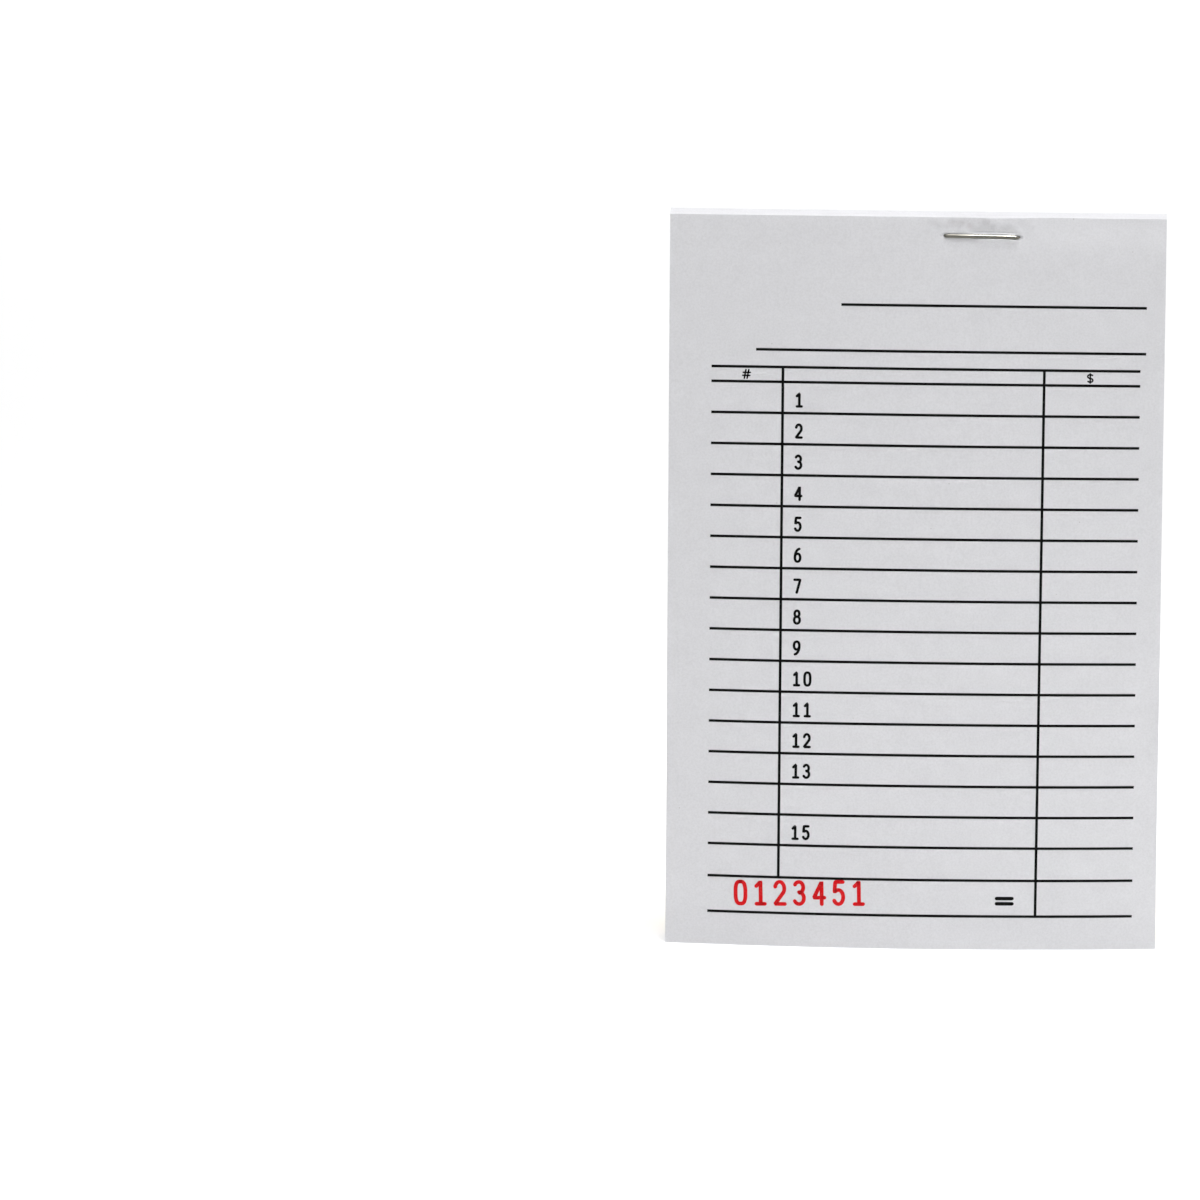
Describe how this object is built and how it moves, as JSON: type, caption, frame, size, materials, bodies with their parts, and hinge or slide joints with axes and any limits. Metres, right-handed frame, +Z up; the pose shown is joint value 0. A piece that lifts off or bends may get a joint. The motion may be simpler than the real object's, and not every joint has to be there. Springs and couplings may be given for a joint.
{
  "type": "guest check pad",
  "caption": "Pad of narrow ruled sheets on a stiff card, held near its top by one wire staple. The front sheets lift at a crease just under the staple.",
  "frame": {"origin": "on the surface it stands on, under the middle of the whole object, the staple's crown and the leaning lower corners included", "axes": "+Z up along the sheets' long side, +X to the right as seen from the written side, which faces -Y"},
  "size_m": [0.0826, 0.0078, 0.127],
  "materials": {
    "bond_paper": "uncoated",
    "manila_card": "uncoated",
    "staple_wire": "galvanised"
  },
  "bodies": {
    "pad": {"sheet_01_stub": "bond_paper", "sheet_02_stub": "bond_paper", "sheet_03_stub": "bond_paper", "sheet_04_stub": "bond_paper", "sheet_05_stub": "bond_paper", "sheet_06_stub": "bond_paper", "sheet_07": "bond_paper", "sheet_08": "bond_paper", "sheet_09": "bond_paper", "sheet_10": "bond_paper", "sheet_11": "bond_paper", "sheet_12": "bond_paper", "sheet_13": "bond_paper", "sheet_14": "bond_paper", "sheet_15": "bond_paper", "sheet_16": "bond_paper", "sheet_17": "bond_paper", "sheet_18": "bond_paper", "sheet_19": "bond_paper", "sheet_20": "bond_paper", "sheet_21": "bond_paper", "sheet_22": "bond_paper", "sheet_23": "bond_paper", "sheet_24": "bond_paper", "sheet_25": "bond_paper", "sheet_26": "bond_paper", "sheet_27": "bond_paper", "sheet_28": "bond_paper", "sheet_29": "bond_paper", "sheet_30": "bond_paper", "sheet_31": "bond_paper", "sheet_32": "bond_paper", "sheet_33": "bond_paper", "sheet_34": "bond_paper", "sheet_35": "bond_paper", "sheet_36": "bond_paper", "sheet_37": "bond_paper", "sheet_38": "bond_paper", "sheet_39": "bond_paper", "sheet_40": "bond_paper", "sheet_41": "bond_paper", "sheet_42": "bond_paper", "sheet_43": "bond_paper", "sheet_44": "bond_paper", "sheet_45": "bond_paper", "sheet_46": "bond_paper", "sheet_47": "bond_paper", "sheet_48": "bond_paper", "sheet_49": "bond_paper", "sheet_50": "bond_paper", "backing_card": "manila_card", "staple": "staple_wire"},
    "leaf_01": {"sheet_01_leaf": "bond_paper"},
    "leaf_02": {"sheet_02_leaf": "bond_paper"},
    "leaf_03": {"sheet_03_leaf": "bond_paper"},
    "leaf_04": {"sheet_04_leaf": "bond_paper"},
    "leaf_05": {"sheet_05_leaf": "bond_paper"},
    "leaf_06": {"sheet_06_leaf": "bond_paper"}
  },
  "joints": [
    {"name": "leaf_01_lift", "type": "hinge", "parent": "leaf_02", "child": "leaf_01", "pos_m": [0, -0.00329, 0.12072], "axis": [-1, 0, 0], "range_deg": [0, 100]},
    {"name": "leaf_02_lift", "type": "hinge", "parent": "leaf_03", "child": "leaf_02", "pos_m": [0, -0.00329, 0.12072], "axis": [-1, 0, 0], "range_deg": [0, 20]},
    {"name": "leaf_03_lift", "type": "hinge", "parent": "leaf_04", "child": "leaf_03", "pos_m": [0, -0.00329, 0.12072], "axis": [-1, 0, 0], "range_deg": [0, 10]},
    {"name": "leaf_04_lift", "type": "hinge", "parent": "leaf_05", "child": "leaf_04", "pos_m": [0, -0.00329, 0.12072], "axis": [-1, 0, 0], "range_deg": [0, 10]},
    {"name": "leaf_05_lift", "type": "hinge", "parent": "leaf_06", "child": "leaf_05", "pos_m": [0, -0.00329, 0.12072], "axis": [-1, 0, 0], "range_deg": [0, 10]},
    {"name": "leaf_06_lift", "type": "hinge", "parent": "pad", "child": "leaf_06", "pos_m": [0, -0.00329, 0.12072], "axis": [-1, 0, 0], "range_deg": [0, 10]}
  ]
}
